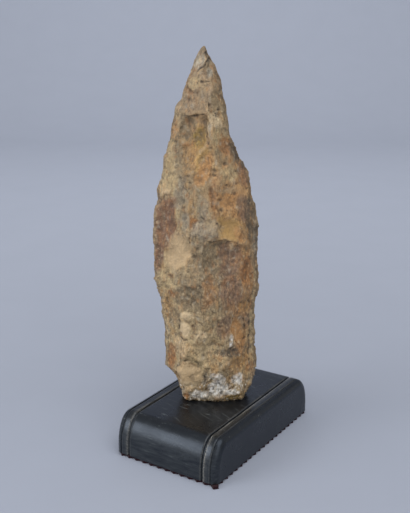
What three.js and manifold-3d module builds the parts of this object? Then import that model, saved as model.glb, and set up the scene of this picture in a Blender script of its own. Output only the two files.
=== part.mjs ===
// Chipped stone axe, standing on an ebonised wooden plinth with a pinked felt under it.
// Millimetres, +Z up. The origin is the middle of the felt's underside, +Y runs along the plinth.
import * as THREE from "three";
import { mergeVertices } from "three/addons/utils/BufferGeometryUtils.js";
import Module from "manifold-3d";

const wasm = await Module();
wasm.setup();

// Driving dimensions
const SEAT_GAP = 0.3;
const FELT = { width: 66.8, length: 107, thickness: 1.3, toothPitch: 5, toothDepth: 1.6 };
// How much of each corner of the felt is snipped off: front left, front right, back right, back left
const FELT_SNIPS = [4, 0.8, 4, 4];
const PLINTH = { width: 66.8, length: 107, height: 23, endRun: 10.8, endDrop: 18, rollRound: 4 };
// Quirks run over the plinth near each long side: the one beside the roll, and the one beside the field.
// inset is from the side face to the quirk's near lip.
const QUIRKS = [
  { inset: 3.4, width: 0.9, depth: 0.7 },
  { inset: 8.5, width: 1.3, depth: 1.1 },
];
const STONE = { length: 198, turnDegrees: 33 };
const PLINTH_FOOT = FELT.thickness + SEAT_GAP;
const PLINTH_TOP = PLINTH_FOOT + PLINTH.height;

// The stone's own frame: x across the blade, -y its showing face, z from the butt up to the point.
// Each station is [height, distance from the upright through the plinth's middle].
const LEFT_MARGIN = [
  [0, -19], [4, -21.5], [12, -27], [18, -30.2], [25, -29.2], [36, -30.2], [47, -32.6], [63, -34.2], [68, -38],
  [80, -40.6], [90, -38.6], [100, -36], [112, -34.5], [122, -34.6], [136, -31.4], [143, -28.8], [158, -24.6],
  [168, -21.9], [180, -16.7], [191, -11.8], [198, -7.8],
];
const RIGHT_MARGIN = [
  [0, 17.2], [5, 20.5], [12, 22.3], [20, 23.5], [34, 22.2], [47, 23.6], [58, 25.2], [68, 24.1], [100, 24.4],
  [110, 22.2], [118, 19.6], [126, 18.6], [133, 17.7], [138, 16.4], [143, 12.6], [150, 8.2], [158, 5.4],
  [170, 3.6], [180, 1.4], [186, -0.3], [191, -3.2], [198, -7.8],
];
const RIDGE = [[0, -1], [40, -4], [90, -6], [150, -4], [180, -5.5], [198, -7.8]];
// The section is an ellipse for a power of 2, sharper at its margins below that and squarer above
const SECTION_POWER = [[0, 5], [12, 3], [40, 2], [80, 1.75], [198, 1.6]];
const FRONT_BULGE = [
  [0, 10.5], [4, 13.5], [20, 16.5], [60, 18], [100, 17], [140, 13.5], [172, 9.5], [191, 4.5], [198, 0],
];
const BACK_BULGE = [[0, 9], [8, 11.5], [40, 13], [90, 12.5], [140, 9.5], [172, 6.5], [191, 3.2], [198, 0]];

// The margins wind to and fro about the middle plane, and come back to it at the point
const MARGIN_SWAY = { amount: 1.7, wavelength: 37, lag: 2, fade: 40 };

// Flakes struck from the margins of each face: how many along a margin, how deep they bite below the straight
// line they span, how far they run towards the ridge, and how wide they are for their spacing
const FLAKE_ROWS = [
  { face: -1, count: 8, bite: 0.9, reach: 0.6, spread: 0.75 },
  { face: -1, count: 14, bite: 0.8, reach: 0.3, spread: 0.6 },
  { face: 1, count: 7, bite: 1, reach: 0.75, spread: 0.75 },
  { face: 1, count: 11, bite: 0.8, reach: 0.35, spread: 0.6 },
];
const FLAKE_THICKNESS = 7;
const LOWEST_FLAKE = 24;
const POINT_LENGTH = 3;
// Flakes are smaller in proportion where the stone is narrower than this
const FULL_FLAKE_WIDTH = 50;

// How much each flake departs from the even row, as a share of its spacing or size
const WANDER = { height: 0.3, aim: 0.35, reach: 0.45, width: 0.3, bite: 0.4 };

// Scars that show on the front by themselves. at is [x, height], size their half width and half height,
// heel the turn in degrees that sinks the upper end into a step.
const FRONT_SCARS = [
  { at: [-9, 188], size: [7, 9], depth: 1, heel: 0 },
  { at: [-8, 179], size: [9, 9], depth: 1.6, heel: 6 },
  { at: [-13, 167], size: [12, 11], depth: 2.2, heel: 8 },
  { at: [-15, 147], size: [14, 15], depth: 3, heel: 10 },
  { at: [3, 148], size: [9, 20], depth: 1.8, heel: 0 },
  { at: [-7, 129], size: [10, 17], depth: 2.4, heel: 3 },
  { at: [-22, 122], size: [14, 15], depth: 3, heel: 3 },
  { at: [8, 116], size: [14, 27], depth: 2.8, heel: -4 },
  { at: [-10, 104], size: [12, 15], depth: 2, heel: 0 },
  { at: [-20, 87], size: [15, 21], depth: 3.2, heel: 0 },
  { at: [6, 76], size: [22, 21], depth: 3.4, heel: 9 },
  { at: [-16, 51], size: [17, 18], depth: 3, heel: 7 },
  { at: [12, 44], size: [13, 19], depth: 2.6, heel: 4 },
  { at: [-2, 33], size: [15, 16], depth: 2.2, heel: 6 },
  { at: [-14, 17], size: [15, 15], depth: 2.4, heel: 4 },
  { at: [-3, 8], size: [13, 10], depth: 1.6, heel: 0 },
  { at: [11, 14], size: [13, 14], depth: 2.4, heel: 3 },
];

// The back is plainer: a row of like scars down its ridge, each a little off it
const BACK_SCARS = { count: 9, offRidge: 9, size: [13, 14], depth: 2, heel: 7 };

// A value read off a list of stations, in straight runs between them
function along(stations, height) {
  const clamped = THREE.MathUtils.clamp(height, stations[0][0], stations.at(-1)[0]);
  const next = Math.max(1, stations.findIndex(([z]) => z >= clamped));
  const [z0, v0] = stations[next - 1];
  const [z1, v1] = stations[next];
  return THREE.MathUtils.mapLinear(clamped, z0, z1, v0, v1);
}

// A repeatable number from -1 to 1, for what varies from flake to flake
function vary(index, kind) {
  const wave = Math.sin(index * 127.1 + kind * 311.7) * 43758.5453;
  return 2 * (wave - Math.floor(wave)) - 1;
}

// A closed geometry as a solid to cut, and back
function solidOf(geometry) {
  const bare = geometry.clone();
  bare.deleteAttribute("normal");
  bare.deleteAttribute("uv");
  const merged = mergeVertices(bare, 1e-4);
  const vertProperties = new Float32Array(merged.attributes.position.array);
  const triVerts = new Uint32Array(merged.index.array);
  return new wasm.Manifold(new wasm.Mesh({ numProp: 3, vertProperties, triVerts }));
}

function geometryOf(solid) {
  const mesh = solid.getMesh();
  const geometry = new THREE.BufferGeometry();
  geometry.setAttribute("position", new THREE.BufferAttribute(mesh.vertProperties, 3));
  geometry.setIndex(new THREE.BufferAttribute(mesh.triVerts, 1));
  geometry.computeVertexNormals();
  return geometry;
}

function piece(name, geometry, colour, roughness) {
  const material = new THREE.MeshStandardMaterial({ color: colour, roughness, metalness: 0 });
  const mesh = new THREE.Mesh(geometry, material);
  mesh.name = name;
  return mesh;
}

// The unworked stone has a lens section at every height, squarer at the butt, with a margin at each side and
// a soft ridge on each face
function margin(side, height) {
  return along(side < 0 ? LEFT_MARGIN : RIGHT_MARGIN, height);
}

function bulge(face, height) {
  return along(face < 0 ? FRONT_BULGE : BACK_BULGE, height);
}

function sway(side, height) {
  const phase = (2 * Math.PI * height) / MARGIN_SWAY.wavelength + (side < 0 ? 0 : MARGIN_SWAY.lag);
  const fading = Math.min(1, (STONE.length - height) / MARGIN_SWAY.fade);
  return MARGIN_SWAY.amount * fading * Math.sin(phase);
}

// How far a face stands off the middle plane at x, and the radius of the section about its ridge
function standoff(face, x, height) {
  const ridge = along(RIDGE, height);
  const power = along(SECTION_POWER, height);
  const share = THREE.MathUtils.clamp((x - ridge) / (margin(x - ridge, height) - ridge), 0, 1);
  const rise = face * bulge(face, height) * (1 - share ** power) ** (1 / power);
  return rise + sway(x - ridge, height) * share ** 2;
}

function sectionRadius(angle, height) {
  const power = along(SECTION_POWER, height);
  const across = Math.abs(Math.cos(angle) / (margin(Math.cos(angle), height) - along(RIDGE, height)));
  const through = Math.abs(Math.sin(angle) / bulge(Math.sin(angle), height));
  return (across ** power + through ** power) ** (-1 / power);
}

function unworkedStone() {
  const around = 40;
  const up = 46;
  const buttRows = 3;
  const sphere = new THREE.SphereGeometry(1, around, up);
  const position = sphere.attributes.position;
  for (let i = 0; i < position.count; i++) {
    const angle = ((i % (around + 1)) / around) * 2 * Math.PI;
    const row = Math.floor(i / (around + 1));
    const height = STONE.length * Math.max(0, 1 - row / (up - buttRows));
    const inward = Math.min(1, (up - row) / buttRows);
    const radius = row === 0 ? 0 : sectionRadius(angle, height) * inward;
    const aside = sway(Math.cos(angle), height) * Math.cos(angle) ** 2 * inward;
    const x = along(RIDGE, height) + radius * Math.cos(angle);
    position.setXYZ(i, x, radius * Math.sin(angle) + aside, height);
  }
  return solidOf(sphere);
}

// A flattened ellipsoid that takes a shell-shaped flake. Its scar is as long and wide as the half spans say
// where it crosses the plane through the point on the stone, and it goes the depth below that plane.
function flake(point, lengthwise, outward, halfLength, halfWidth, depth) {
  const crosswise = new THREE.Vector3().crossVectors(outward, lengthwise);
  const rim = Math.sqrt(1 - (1 - depth / FLAKE_THICKNESS) ** 2);
  const middle = point.clone().addScaledVector(outward, FLAKE_THICKNESS - depth);
  const placed = new THREE.Matrix4().makeBasis(lengthwise, crosswise, outward).setPosition(middle);
  const ball = new THREE.IcosahedronGeometry(1, 3).scale(halfLength / rim, halfWidth / rim, FLAKE_THICKNESS);
  return solidOf(ball.applyMatrix4(placed));
}

// A point on the unworked face, no nearer the point than where the stone still has some width
function onFace(face, x, height) {
  const lower = Math.min(height, STONE.length - POINT_LENGTH);
  return new THREE.Vector3(x, standoff(face, x, lower), lower);
}

// One flake driven in from a margin towards the ridge of a face
function marginFlake(flakes, side, height, spacing, index) {
  const edge = new THREE.Vector3(margin(side, height), sway(side, height), height);
  const reach = flakes.reach * (1 + WANDER.reach * vary(index, 2));
  const endX = THREE.MathUtils.lerp(edge.x, along(RIDGE, height), reach);
  const aim = height + spacing * WANDER.aim * vary(index, 1);
  const inward = onFace(flakes.face, endX, aim).sub(edge);
  const above = onFace(flakes.face, endX, height + spacing / 2);
  const rise = above.sub(onFace(flakes.face, endX, height - spacing / 2));
  const outward = new THREE.Vector3().crossVectors(inward, rise).normalize();
  outward.multiplyScalar(Math.sign(outward.y) * flakes.face);
  const halfLength = inward.length() / 2;
  const thinning = Math.min(1, (margin(1, height) - margin(-1, height)) / FULL_FLAKE_WIDTH);
  const halfWidth = spacing * flakes.spread * thinning * (1 + WANDER.width * vary(index, 3));
  const depth = flakes.bite * thinning * (1 + WANDER.bite * vary(index, 4));
  const lengthwise = inward.normalize();
  const middle = edge.addScaledVector(lengthwise, halfLength);
  return flake(middle, lengthwise, outward, halfLength, halfWidth, depth);
}

function marginFlakes(flakes, side) {
  const spacing = (STONE.length - LOWEST_FLAKE) / flakes.count;
  const cuts = [];
  for (let i = 0; i < flakes.count; i++) {
    const index = i + 20 * (side > 0) + 40 * FLAKE_ROWS.indexOf(flakes);
    const height = LOWEST_FLAKE + spacing * (i + 0.5 + WANDER.height * vary(index, 0));
    cuts.push(marginFlake(flakes, side, height, spacing, index));
  }
  return cuts;
}

// One scar by itself on a face, square to the unworked surface there
function faceScar(face, { at: [x, height], size: [halfWidth, halfHeight], depth, heel }) {
  const step = 4;
  const lengthwise = onFace(face, x, height + step).sub(onFace(face, x, height - step)).normalize();
  const across = onFace(face, x - face * step, height).sub(onFace(face, x + face * step, height));
  const outward = new THREE.Vector3().crossVectors(across, lengthwise).normalize();
  const axis = new THREE.Vector3().crossVectors(outward, lengthwise);
  const turn = THREE.MathUtils.degToRad(heel);
  lengthwise.applyAxisAngle(axis, turn);
  outward.applyAxisAngle(axis, turn);
  return flake(onFace(face, x, height), lengthwise, outward, halfHeight, halfWidth, depth);
}

function backScars() {
  const spacing = STONE.length / (BACK_SCARS.count + 1);
  const scars = [];
  for (let i = 0; i < BACK_SCARS.count; i++) {
    const height = spacing * (i + 0.6 + WANDER.height * vary(i, 5));
    const narrowing = bulge(1, height) / bulge(1, STONE.length / 2);
    const x = along(RIDGE, height) + BACK_SCARS.offRidge * narrowing * vary(i, 6);
    const size = BACK_SCARS.size.map((half, k) => half * narrowing * (1 + WANDER.width * vary(i, 7 + k)));
    const depth = BACK_SCARS.depth * narrowing;
    scars.push({ at: [x, height], size, depth, heel: BACK_SCARS.heel * vary(i, 9) });
  }
  return scars;
}

function stoneAxe() {
  let worked = unworkedStone();
  for (const side of [-1, 1]) {
    for (const flakes of FLAKE_ROWS) {
      for (const cut of marginFlakes(flakes, side)) worked = worked.subtract(cut);
    }
  }
  for (const scar of FRONT_SCARS) worked = worked.subtract(faceScar(-1, scar));
  for (const scar of backScars()) worked = worked.subtract(faceScar(1, scar));
  const stone = piece("stone_axe", geometryOf(worked), "#8d7a5e", 0.7);
  stone.rotation.z = THREE.MathUtils.degToRad(STONE.turnDegrees);
  stone.position.z = PLINTH_TOP + SEAT_GAP;
  return stone;
}

// The plinth's end-to-end outline, taken in by a depth on its top and ends, drawn down past its foot
function plinthOutline(depth) {
  const end = PLINTH.length / 2 - depth;
  const top = PLINTH.height - depth;
  const run = PLINTH.endRun - depth;
  const drop = PLINTH.endDrop - depth;
  const shape = new THREE.Shape();
  shape.moveTo(-end, -PLINTH.height);
  shape.lineTo(end, -PLINTH.height);
  shape.absellipse(end - run, top - drop, run, drop, 0, Math.PI / 2);
  shape.absellipse(run - end, top - drop, run, drop, Math.PI / 2, Math.PI);
  return shape;
}

// An outline in the upright plane along the plinth, pushed across it from one x to another
function acrossPlinth(shape, from, to, round) {
  const geometry = new THREE.ExtrudeGeometry(shape, {
    depth: to - from - 2 * round,
    curveSegments: 9,
    bevelEnabled: round > 0,
    bevelThickness: round,
    bevelSize: round,
    bevelOffset: -round,
    bevelSegments: 4,
  });
  const alongY = new THREE.Vector3(0, 1, 0);
  const alongZ = new THREE.Vector3(0, 0, 1);
  const alongX = new THREE.Vector3(1, 0, 0);
  geometry.applyMatrix4(new THREE.Matrix4().makeBasis(alongY, alongZ, alongX));
  return solidOf(geometry.translate(from + round, 0, 0));
}

function plinth() {
  const half = PLINTH.width / 2;
  let block = acrossPlinth(plinthOutline(0), -half, half, PLINTH.rollRound);
  for (const { inset, width, depth } of QUIRKS) {
    const core = acrossPlinth(plinthOutline(depth), -half, half, 0);
    for (const side of [-1, 1]) {
      const slab = new THREE.BoxGeometry(width, 2 * PLINTH.length, 6 * PLINTH.height);
      slab.translate(side * (half - inset - width / 2), 0, 0);
      block = block.subtract(solidOf(slab).subtract(core));
    }
  }
  const below = new THREE.BoxGeometry(2 * PLINTH.width, 2 * PLINTH.length, 2 * PLINTH.height);
  block = block.subtract(solidOf(below.translate(0, 0, -PLINTH.height)));
  const mesh = piece("plinth", geometryOf(block), "#26272a", 0.4);
  mesh.position.z = PLINTH_FOOT;
  return mesh;
}

// The felt's outline runs from snipped corner to snipped corner, with a row of teeth along each side
function feltPad() {
  const corners = [[-1, -1], [1, -1], [1, 1], [-1, 1]];
  const corner = (k) => new THREE.Vector2(
    (corners[k % 4][0] * FELT.width) / 2,
    (corners[k % 4][1] * FELT.length) / 2,
  );
  const points = [];
  for (let k = 0; k < 4; k++) {
    const start = corner(k);
    const side = corner(k + 1).sub(start);
    const forward = side.clone().normalize();
    const inward = new THREE.Vector2(-forward.y, forward.x);
    const run = side.length() - FELT_SNIPS[k] - FELT_SNIPS[(k + 1) % 4];
    const teeth = Math.round(run / FELT.toothPitch);
    for (let i = 0; i <= 2 * teeth; i++) {
      const place = start.clone().addScaledVector(forward, FELT_SNIPS[k] + (run * i) / (2 * teeth));
      points.push(place.addScaledVector(inward, i % 2 === 0 ? 0 : FELT.toothDepth));
    }
  }
  const outline = new THREE.Shape(points);
  const sheet = new THREE.ExtrudeGeometry(outline, { depth: FELT.thickness, bevelEnabled: false });
  return piece("felt_pad", sheet, "#4a1a20", 0.95);
}

const group = new THREE.Group();
group.add(feltPad(), plinth(), stoneAxe());
export default group;
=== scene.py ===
"""A chipped stone axe that stands on an ebonised wooden plinth, with a pinked felt under the wood."""

import math

import bmesh
import bpy
import numpy as np
from mathutils import Matrix, Vector, noise


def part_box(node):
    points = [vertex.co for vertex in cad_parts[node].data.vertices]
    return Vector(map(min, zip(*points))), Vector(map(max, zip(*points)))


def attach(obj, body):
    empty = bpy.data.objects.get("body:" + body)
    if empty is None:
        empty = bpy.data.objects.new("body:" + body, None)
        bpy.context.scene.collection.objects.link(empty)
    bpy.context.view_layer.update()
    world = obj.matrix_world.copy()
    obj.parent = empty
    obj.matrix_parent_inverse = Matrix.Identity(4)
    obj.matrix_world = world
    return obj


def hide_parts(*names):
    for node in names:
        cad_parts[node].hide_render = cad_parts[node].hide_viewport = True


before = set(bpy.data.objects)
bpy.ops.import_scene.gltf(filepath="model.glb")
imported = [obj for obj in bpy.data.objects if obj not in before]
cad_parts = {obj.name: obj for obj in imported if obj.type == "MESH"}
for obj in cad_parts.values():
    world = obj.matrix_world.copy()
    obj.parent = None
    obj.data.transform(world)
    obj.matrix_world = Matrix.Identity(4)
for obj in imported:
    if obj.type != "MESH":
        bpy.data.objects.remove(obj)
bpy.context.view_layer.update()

scene = bpy.context.scene
scene.view_settings.view_transform = "Standard"

# Camera
# It stands to the right of the plinth's front end, a little above the stone's point, and looks down at the
# middle of the stone.
CAMERA_PLACE = Vector((0.23562, -0.37388, 0.23453))
CAMERA_TURN = 0.578
CAMERA_PITCH = 0.278
CAMERA_LENS = 57.56

camera = bpy.data.objects.new("camera", bpy.data.cameras.new("camera"))
camera.data.lens = CAMERA_LENS
camera.location = CAMERA_PLACE
camera.rotation_euler = (math.pi / 2 - CAMERA_PITCH, 0, CAMERA_TURN)
scene.collection.objects.link(camera)
scene.camera = camera


# Felt pad
# A sheet of dark red wool felt, cut out with pinking shears and glued under the wood. Three corners are
# snipped back under the wood, and the front right one sticks out.
FELT_TOOTH_PITCH = 0.005
FELT_TOOTH_DEPTH = 0.0016
# How far each corner is snipped back along its sides, from the front left round to the back left
FELT_SNIPS = (0.004, 0.002, 0.004, 0.004)
# How far the front right corner is pulled out, and how much of the edge goes with it
FELT_CORNER_PULL = Vector((0.0012, -0.0012, 0))
FELT_CORNER_REACH = 0.003
# How far the cut edge is fuzzed, how many tufts it has to a metre, and the seed that places them
FELT_NAP = 0.00012
FELT_TUFTS = 900
FELT_NAP_SEED = 1
FELT_FIBRE = 0.0012
FELT_RED = "#300f1b"
FELT_SHADE = "#16060b"


def linear(hex_colour):
    """An sRGB hex colour as linear RGBA."""
    channels = [int(hex_colour[i : i + 2], 16) / 255 for i in (1, 3, 5)]
    return [c / 12.92 if c <= 0.04045 else ((c + 0.055) / 1.055) ** 2.4 for c in channels] + [1.0]


def add_node(material, kind, inputs=None, **settings):
    """A new node of a material, with its settings, and its inputs linked or set."""
    made = material.node_tree.nodes.new("ShaderNode" + kind)
    for name, value in settings.items():
        setattr(made, name, value)
    for socket, value in (inputs or {}).items():
        if isinstance(value, bpy.types.NodeSocket):
            material.node_tree.links.new(value, made.inputs[socket])
        else:
            made.inputs[socket].default_value = value
    return made


def new_material(name):
    """A node material with no nodes yet."""
    material = bpy.data.materials.new(name)
    material.use_nodes = True
    material.node_tree.nodes.clear()
    return material


def finish_piece(bm, name, material):
    """A piece's mesh as an object at the origin, with its material."""
    mesh = bpy.data.meshes.new(name)
    bm.to_mesh(mesh)
    bm.free()
    mesh.materials.append(material)
    piece = bpy.data.objects.new(name, mesh)
    scene.collection.objects.link(piece)
    return piece


# Sockets of a Mix node that mixes colours
FACTOR, FIRST, SECOND, MIXED = 0, 6, 7, 2

# Pressed wool felt: no weave and no gloss, short fibres that lie every way, and a soft bloom at grazing
# angles. The fibres are far finer than this, and are drawn as coarse as they need to show.
wool_felt = new_material("wool_felt")
felt_place = add_node(wool_felt, "TexCoord").outputs["Object"]
wool = add_node(
    wool_felt,
    "TexNoise",
    {"Vector": felt_place, "Scale": 1 / FELT_FIBRE, "Detail": 4.0, "Roughness": 0.7},
)
felt_tint = add_node(
    wool_felt,
    "Mix",
    {FACTOR: wool.outputs["Fac"], FIRST: linear(FELT_SHADE), SECOND: linear(FELT_RED)},
    data_type="RGBA",
)
nap = add_node(wool_felt, "Bump", {"Height": wool.outputs["Fac"], "Strength": 0.6, "Distance": 0.0003})
cloth = add_node(
    wool_felt,
    "BsdfPrincipled",
    {
        "Base Color": felt_tint.outputs[MIXED],
        "Normal": nap.outputs["Normal"],
        "Roughness": 0.95,
        "Specular IOR Level": 0.2,
        "Sheen Weight": 0.08,
        "Sheen Roughness": 0.5,
    },
)
add_node(wool_felt, "OutputMaterial", {"Surface": cloth.outputs["BSDF"]})

felt_low, felt_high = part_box("felt_pad")
plinth_low, plinth_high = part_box("plinth")
corners = [
    Vector((felt_low.x, felt_low.y, 0)),
    Vector((felt_high.x, felt_low.y, 0)),
    Vector((felt_high.x, felt_high.y, 0)),
    Vector((felt_low.x, felt_high.y, 0)),
]
bm = bmesh.new()
rim = []
for k in range(4):
    side = corners[(k + 1) % 4] - corners[k]
    run = side.length - FELT_SNIPS[k] - FELT_SNIPS[(k + 1) % 4]
    along = side.normalized()
    inward = Vector((-along.y, along.x, 0))
    teeth = round(run / FELT_TOOTH_PITCH)
    for i in range(2 * teeth + 1):
        depth = FELT_TOOTH_DEPTH if i % 2 else 0
        from_corner = FELT_SNIPS[k] + run * i / (2 * teeth)
        rim.append(bm.verts.new(corners[k] + along * from_corner + inward * depth))
for v in rim:
    if (v.co - corners[1]).length < FELT_CORNER_REACH:
        v.co += FELT_CORNER_PULL
sheet = bm.faces.new(rim)
risen = bmesh.ops.extrude_face_region(bm, geom=[sheet])["geom"]
upper = [v for v in risen if isinstance(v, bmesh.types.BMVert)]
bmesh.ops.translate(bm, verts=upper, vec=(0, 0, plinth_low.z - felt_low.z))
walls = [e for e in bm.edges if all(len(f.verts) == 4 for f in e.link_faces)]
bmesh.ops.subdivide_edges(bm, edges=walls, cuts=2)
bmesh.ops.recalc_face_normals(bm, faces=bm.faces)
noise.seed_set(FELT_NAP_SEED)
for v in bm.verts:
    if felt_low.z < v.co.z < plinth_low.z:
        v.co += noise.noise_vector(v.co * FELT_TUFTS) * FELT_NAP
felt = finish_piece(bm, "felt_pad_pinked", wool_felt)
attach(felt, "root")
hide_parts("felt_pad")


# Plinth
# A block of hardwood, its two ends rounded over and a moulding run along both long sides and down the ends,
# stained black and polished. It is glued to the felt, and the stone stands on it.
EBONY = "#0b0d10"
EBONY_GRAIN = "#181b20"
EBONY_SCRATCH_AND_PAINTED_LIGHT = "#565b5c"
EBONY_WORN = "#87857f"
EBONY_SHEEN = "#cddcf2"
WOOD_PORE = 0.0012
HANDLED_PATCH = 0.012
SCRATCH_SPACING = 0.016
SCUFF_HEIGHT = 0.0011
RUBBED_GRAIN = 0.0007
CRISP_EDGE = math.radians(50)
FLANK_INSET = 0.0006
# The ends' rounding: how far it runs along the top and how far it drops. The foot below it, the rounding,
# half the top and half the field are drawn in these steps.
END_RUN = 0.0108
END_DROP = 0.018
FOOT_STEPS = 4
END_STEPS = 24
TOP_STEPS = 8
FIELD_STEPS = 5
# The moulding from a side face inwards, in millimetres: how far in, how far down, and how bare it is worn.
# The roll comes first, then a small quirk, a flat fillet worn pale along its inner lip, and a deeper quirk.
ROLL_ROUND = 4
SMALL_QUIRK = [(3.55, 0.25, 0), (3.7, 0.6, 0), (3.85, 0.7, 0), (4.05, 0.6, 0), (4.2, 0.25, 0.1)]
FILLET = [(4.45, 0.06, 0.2), (5.2, 0, 0), (6.2, 0, 0.1), (6.9, 0, 0.15), (7.5, 0, 0.5), (8.0, 0.04, 1)]
INNER_QUIRK = [(8.3, 0.18, 1), (8.5, 0.5, 0.5), (8.75, 1, 0), (9.1, 1.1, 0), (9.5, 1, 0), (9.7, 0.5, 0)]
FIELD_EDGE = [(9.85, 0.18, 0.3), (10.2, 0.03, 0.2), (10.8, 0, 0)]

plinth_half = plinth_high.x
plinth_end = plinth_high.y


def plinth_outline(depth):
    """Points over the plinth from its front foot to its back foot, at a depth under the top and the ends."""
    run = END_RUN - depth
    drop = END_DROP - depth
    spring = plinth_high.z - depth - drop
    rise = spring - plinth_low.z
    half = [(plinth_end - depth, plinth_low.z + rise * k / FOOT_STEPS) for k in range(FOOT_STEPS)]
    for k in range(END_STEPS + 1):
        angle = math.pi / 2 * k / END_STEPS
        half.append((plinth_end - depth - run * (1 - math.cos(angle)), spring + drop * math.sin(angle)))
    for k in range(1, TOP_STEPS + 1):
        half.append(((plinth_end - depth - run) * (1 - k / TOP_STEPS), plinth_high.z - depth))
    return [(-y, z) for y, z in half] + [(y, z) for y, z in half[-2::-1]]


side_run = []
for degrees in range(0, 90, 10):
    angle = math.radians(degrees)
    side_run.append((ROLL_ROUND * (1 - math.cos(angle)), ROLL_ROUND * (1 - math.sin(angle)), 0))
side_run += SMALL_QUIRK + FILLET + INNER_QUIRK + FIELD_EDGE
field = plinth_half * 1000 - side_run[-1][0]
side_run += [(plinth_half * 1000 - field * (1 - k / FIELD_STEPS), 0, 0) for k in range(1, FIELD_STEPS)]
stations = [(inset / 1000 - plinth_half, depth / 1000, wear) for inset, depth, wear in side_run]
stations += [(0.0, 0.0, 0.0)] + [(-x, depth, wear) for x, depth, wear in reversed(stations)]

bm = bmesh.new()
worn = bm.verts.layers.float.new("worn")
rows = len(plinth_outline(0))
bmesh.ops.create_grid(bm, x_segments=len(stations) - 1, y_segments=rows - 1, size=1)
sides = {0: [], len(stations) - 1: []}
for v in bm.verts:
    station = round((v.co.x + 1) / 2 * (len(stations) - 1))
    row = round((v.co.y + 1) / 2 * (rows - 1))
    x, depth, wear = stations[station]
    v.co = (x, *plinth_outline(depth)[row])
    v[worn] = wear
    if station in sides:
        sides[station].append((row, v))
for side_rim in sides.values():
    flank = bm.faces.new([v for row, v in sorted(side_rim, key=lambda pair: pair[0])])
    bmesh.ops.inset_region(bm, faces=[flank], thickness=FLANK_INSET)
bmesh.ops.holes_fill(bm, edges=[e for e in bm.edges if e.is_boundary], sides=0)
bmesh.ops.recalc_face_normals(bm, faces=bm.faces)
for face in bm.faces:
    face.smooth = True
for edge in bm.edges:
    edge.smooth = edge.calc_face_angle(0) < CRISP_EDGE

# Stained and polished hardwood: near black with a satin gloss, the grain just showing along the block, fine
# curved scratches on the top, scuffs and a pale haze on the ends, the haze partly painted light that lightens
# them, and the pale wood bare along the lips of the quirks. Its pores are finer than this, and are drawn as
# coarse as they need to show.
ebonised_wood = new_material("ebonised_hardwood")
wood_place = add_node(ebonised_wood, "TexCoord").outputs["Object"]
along_grain = add_node(ebonised_wood, "Mapping", {"Vector": wood_place, "Scale": (1, 0.06, 1)})
pores = add_node(
    ebonised_wood,
    "TexNoise",
    {"Vector": along_grain.outputs["Vector"], "Scale": 1 / WOOD_PORE, "Detail": 5.0, "Roughness": 0.6},
)
wood_tint = add_node(
    ebonised_wood,
    "Mix",
    {FACTOR: pores.outputs["Fac"], FIRST: linear(EBONY), SECOND: linear(EBONY_GRAIN)},
    data_type="RGBA",
)
handling = add_node(
    ebonised_wood,
    "TexNoise",
    {"Vector": wood_place, "Scale": 1 / HANDLED_PATCH, "Detail": 3.0},
)
wiped = add_node(ebonised_wood, "Mapping", {"Vector": wood_place, "Location": (0.02, 0.11, 0)})
arcs = add_node(
    ebonised_wood,
    "TexWave",
    {
        "Vector": wiped.outputs["Vector"],
        "Scale": 1 / SCRATCH_SPACING,
        "Distortion": 6.0,
        "Detail": 3.0,
        "Detail Scale": 0.6,
    },
    wave_type="RINGS",
    rings_direction="Z",
)
arc_line = add_node(
    ebonised_wood,
    "MapRange",
    {"Value": arcs.outputs["Fac"], "From Min": 0.92, "From Max": 1.0, "To Max": 0.45},
)
arc_share = add_node(
    ebonised_wood,
    "MapRange",
    {"Value": handling.outputs["Fac"], "From Min": 0.5, "From Max": 0.62},
)
levels = add_node(ebonised_wood, "SeparateXYZ", {"Vector": wood_place})
on_top = add_node(
    ebonised_wood,
    "MapRange",
    {"Value": levels.outputs["Z"], "From Min": plinth_high.z - 0.002, "From Max": plinth_high.z - 0.0005},
)
arc_part = add_node(
    ebonised_wood,
    "Math",
    {0: arc_line.outputs["Result"], 1: arc_share.outputs["Result"]},
    operation="MULTIPLY",
)
arc_scratch = add_node(
    ebonised_wood,
    "Math",
    {0: arc_part.outputs["Value"], 1: on_top.outputs["Result"]},
    operation="MULTIPLY",
)
across_end = add_node(ebonised_wood, "Mapping", {"Vector": wood_place, "Scale": (0.13, 0.5, 1)})
knocks = add_node(
    ebonised_wood,
    "TexNoise",
    {"Vector": across_end.outputs["Vector"], "Scale": 1 / SCUFF_HEIGHT, "Detail": 3.0, "Roughness": 0.65},
)
scuff = add_node(
    ebonised_wood,
    "MapRange",
    {"Value": knocks.outputs["Fac"], "From Min": 0.56, "From Max": 0.66, "To Max": 0.95},
)
scuffed = add_node(
    ebonised_wood,
    "Math",
    {0: scuff.outputs["Result"], 1: arc_share.outputs["Result"]},
    operation="MULTIPLY",
)
from_middle = add_node(ebonised_wood, "Math", {0: levels.outputs["Y"]}, operation="ABSOLUTE")
on_end = add_node(
    ebonised_wood,
    "MapRange",
    {
        "Value": from_middle.outputs["Value"],
        "From Min": plinth_end - 0.007,
        "From Max": plinth_end - 0.001,
    },
)
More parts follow.
